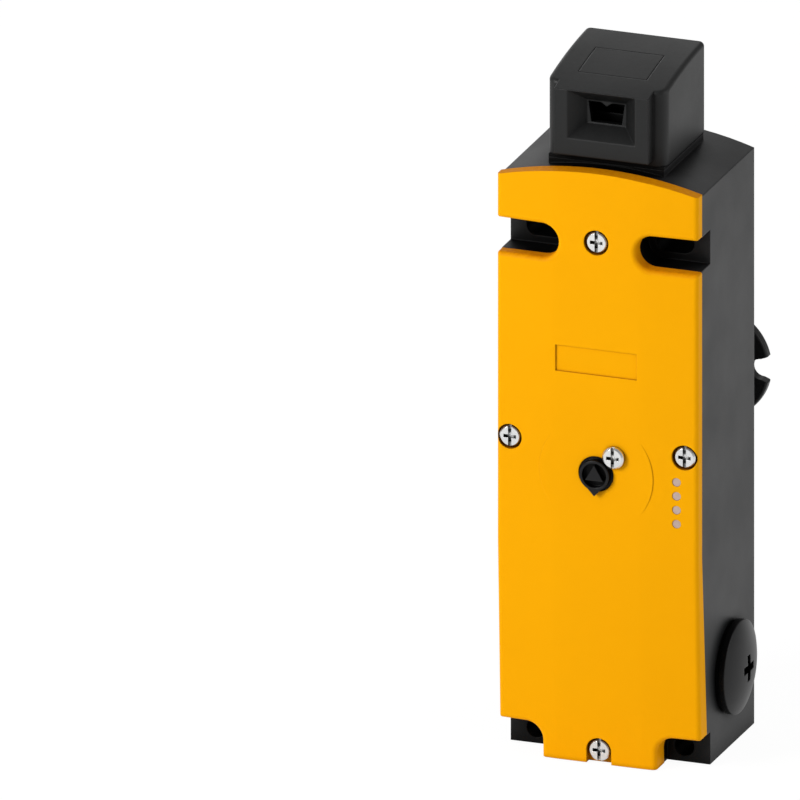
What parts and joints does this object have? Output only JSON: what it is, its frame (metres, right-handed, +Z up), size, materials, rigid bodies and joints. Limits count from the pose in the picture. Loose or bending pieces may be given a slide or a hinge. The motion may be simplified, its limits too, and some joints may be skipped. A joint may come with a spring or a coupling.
{
  "type": "guard-locking tongue interlock switch",
  "caption": "Slim guard-locking safety switch: dark case with yellow front cover, black tongue head on top, front release and a rear release knob on a long shaft.",
  "frame": {"origin": "on the rear mounting face, midway between the two lower fixing holes", "axes": "+X to the right seen from the front, +Y to the wall behind, +Z up along the case"},
  "size_m": [0.0636, 0.0935, 0.1858],
  "materials": {
    "case_grey": "matt moulded, dark grey",
    "cover_yellow": "satin moulded, signal yellow",
    "head_black": "matt moulded, near black",
    "black_plastic": "satin moulded, black",
    "light_guide": "clear to milky",
    "screw_steel": "zinc plated",
    "spring_steel": "bright",
    "mechanism_steel": "machined",
    "yoke_steel": "zinc plated, dull",
    "copper": "enamelled wire",
    "contact_metal": "bright",
    "pale_plastic": "moulded, off-white",
    "frame_plastic": "moulded, grey",
    "board_green": "lacquered board",
    "rubber_black": "matt"
  },
  "bodies": {
    "switch_body": {"housing": "case_grey", "cover": "cover_yellow", "cover_gasket": "rubber_black", "cover_screws": "screw_steel", "release_lock_screw": "screw_steel", "led_light_guides": "light_guide", "led_board": "board_green", "indicator_leds": "light_guide", "led_board_screws": "screw_steel", "head_housing": "head_black", "head_top_slot_cap": "head_black", "head_base": "head_black", "head_base_screws": "screw_steel", "head_seal": "rubber_black", "head_retaining_clip": "spring_steel", "tongue_wheel_axle": "mechanism_steel", "head_plunger_spring": "spring_steel", "mechanism_frame": "frame_plastic", "mechanism_frame_screws": "screw_steel", "solenoid_yoke": "yoke_steel", "solenoid_core": "mechanism_steel", "solenoid_bobbin": "pale_plastic", "solenoid_winding": "copper", "solenoid_spring": "spring_steel", "tongue_contact_case": "pale_plastic", "tongue_contact_terminals": "contact_metal", "lock_contact_case": "pale_plastic", "lock_contact_terminals": "contact_metal", "terminal_block": "pale_plastic", "terminal_clamps": "contact_metal", "terminal_screws": "screw_steel", "right_blanking_plug": "black_plastic", "right_plug_seal": "rubber_black", "left_blanking_plug": "black_plastic", "left_plug_seal": "rubber_black"},
    "tongue_wheel_body": {"tongue_wheel": "black_plastic"},
    "pushrod": {"head_plunger": "mechanism_steel", "locking_stem": "pale_plastic", "tongue_contact_rod": "black_plastic", "tongue_contact_bridge": "contact_metal"},
    "lock_carriage": {"lock_slide": "mechanism_steel", "solenoid_plunger": "mechanism_steel", "solenoid_plunger_pin": "mechanism_steel", "lock_contact_rod": "black_plastic", "lock_contact_bridge": "contact_metal"},
    "lock_bolt_body": {"lock_bolt": "mechanism_steel", "lock_bolt_pin": "mechanism_steel"},
    "auxiliary_release": {"auxiliary_release_spindle": "black_plastic", "auxiliary_release_ring": "rubber_black", "auxiliary_release_clip": "spring_steel"},
    "escape_release": {"escape_release_shaft": "mechanism_steel", "escape_release_knob": "black_plastic", "escape_knob_screw": "screw_steel", "escape_release_ring": "rubber_black", "escape_release_clip": "spring_steel"}
  },
  "joints": [
    {"name": "tongue_turn", "type": "hinge", "parent": "switch_body", "child": "tongue_wheel_body", "pos_m": [0, -0.0212, 0.1663], "axis": [-1, 0, 0], "range_deg": [0, 60]},
    {"name": "plunger_rise", "type": "slide", "parent": "switch_body", "child": "pushrod", "axis": [0, 0, 1], "range_m": [0, 0.003], "deforming": ["head_plunger_spring"]},
    {"name": "lock_rise", "type": "slide", "parent": "switch_body", "child": "lock_carriage", "axis": [0, 0, 1], "range_m": [0, 0.003], "deforming": ["solenoid_spring"]},
    {"name": "bolt_throw", "type": "slide", "parent": "switch_body", "child": "lock_bolt_body", "axis": [1, 0, 0], "range_m": [0, 0.005]},
    {"name": "auxiliary_turn", "type": "hinge", "parent": "switch_body", "child": "auxiliary_release", "pos_m": [0, -0.04, 0.0748], "axis": [0, 1, 0], "range_deg": [0, 90]},
    {"name": "escape_turn", "type": "hinge", "parent": "switch_body", "child": "escape_release", "pos_m": [0, 0.02, 0.0748], "axis": [0, 1, 0], "range_deg": [0, 90]}
  ],
  "couplings": [
    {"joint": "tongue_turn", "follows": "lock_rise", "rad_per_m": 349.07},
    {"joint": "plunger_rise", "follows": "lock_rise", "ratio": 1},
    {"joint": "bolt_throw", "follows": "lock_rise", "ratio": 1.6666}
  ]
}
